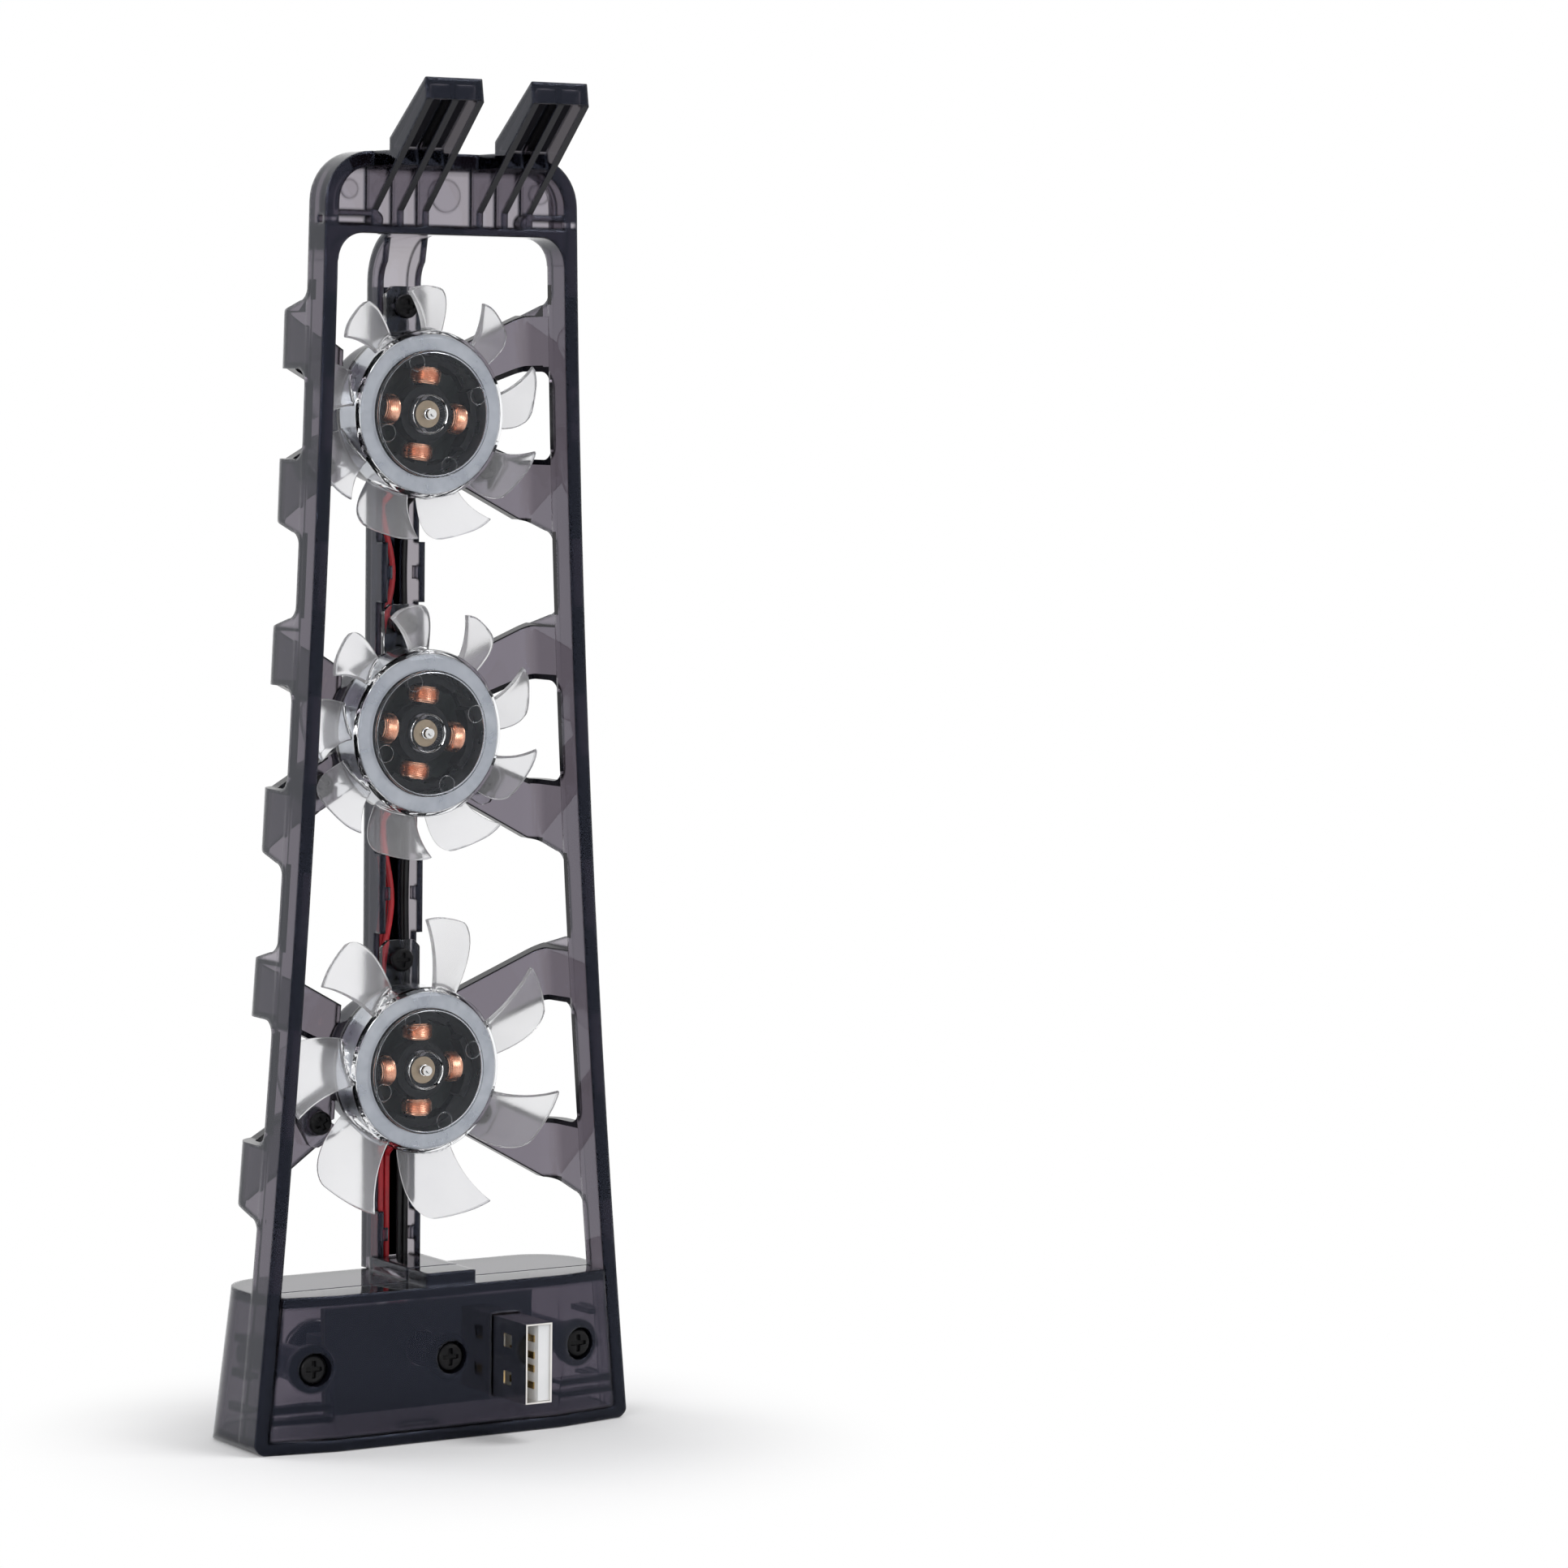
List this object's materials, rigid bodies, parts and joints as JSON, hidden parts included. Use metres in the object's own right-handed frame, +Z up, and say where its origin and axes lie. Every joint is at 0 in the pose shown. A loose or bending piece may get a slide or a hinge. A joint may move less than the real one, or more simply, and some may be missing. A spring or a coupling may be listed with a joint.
{
  "type": "console cooling fan",
  "caption": "Tall tapered clip-on cooling tower with open-frame fans, hooks at the top, and a base with a plug, a pass-through socket and a push button.",
  "frame": {"origin": "on the foot, at the middle of the width, in the plane of the rim's console edge", "axes": "+Z up, +Y towards the console (out of the plug), X across the frame"},
  "size_m": [0.0636, 0.0362, 0.2004],
  "materials": {
    "smoke": "translucent smoke-grey moulding, gloss",
    "clear": "clear moulding, slightly frosted blades",
    "strip": "deep gloss black",
    "foam": "soft black pad",
    "black_steel": "black-coated screws",
    "board": "green circuit board",
    "iron": "laminated iron",
    "copper": "enamelled copper wire, gloss",
    "bronze": "sintered bronze",
    "magnet": "silver-grey ring",
    "steel": "polished shaft",
    "nickel": "nickel-plated sheet",
    "white": "white insulator",
    "gold": "gold-plated contacts",
    "switch": "switch body",
    "button": "gloss black cap",
    "red_wire": "red insulation",
    "black_wire": "black insulation"
  },
  "bodies": {
    "frame": {"frame_rim": "smoke", "arms_top": "smoke", "arms_middle": "smoke", "arms_bottom": "smoke", "spine": "smoke", "base_shell": "smoke", "base_cover": "smoke", "cover_screws": "black_steel", "spine_strip": "strip", "hook_pads": "foam", "fan_screws": "black_steel", "fan_holder_top": "clear", "fan_board_top": "board", "stator_top": "iron", "coils_top": "copper", "bearing_top": "bronze", "fan_holder_middle": "clear", "fan_board_middle": "board", "stator_middle": "iron", "coils_middle": "copper", "bearing_middle": "bronze", "fan_holder_bottom": "clear", "fan_board_bottom": "board", "stator_bottom": "iron", "coils_bottom": "copper", "bearing_bottom": "bronze", "plug_shell": "nickel", "plug_tongue": "white", "plug_contacts": "gold", "socket_shell": "nickel", "socket_tongue": "white", "socket_contacts": "gold", "control_board": "board", "push_switch": "switch", "wires_red": "red_wire", "wires_black": "black_wire"},
    "fan_top": {"rotor_top": "clear", "magnet_top": "magnet", "shaft_top": "steel"},
    "fan_middle": {"rotor_middle": "clear", "magnet_middle": "magnet", "shaft_middle": "steel"},
    "fan_bottom": {"rotor_bottom": "clear", "magnet_bottom": "magnet", "shaft_bottom": "steel"},
    "button": {"push_button": "button"}
  },
  "joints": [
    {"name": "fan_top_spin", "type": "hinge", "parent": "frame", "child": "fan_top", "pos_m": [0, -0.0095, 0.1519], "axis": [0, 1, 0], "continuous": true},
    {"name": "fan_middle_spin", "type": "hinge", "parent": "frame", "child": "fan_middle", "pos_m": [0, -0.0095, 0.1046], "axis": [0, 1, 0], "continuous": true},
    {"name": "fan_bottom_spin", "type": "hinge", "parent": "frame", "child": "fan_bottom", "pos_m": [0, -0.0095, 0.0542], "axis": [0, 1, 0], "continuous": true},
    {"name": "button_press", "type": "slide", "parent": "frame", "child": "button", "axis": [0, 1, 0], "range_m": [0, 0.0012], "stiffness_N_per_m": 800}
  ]
}
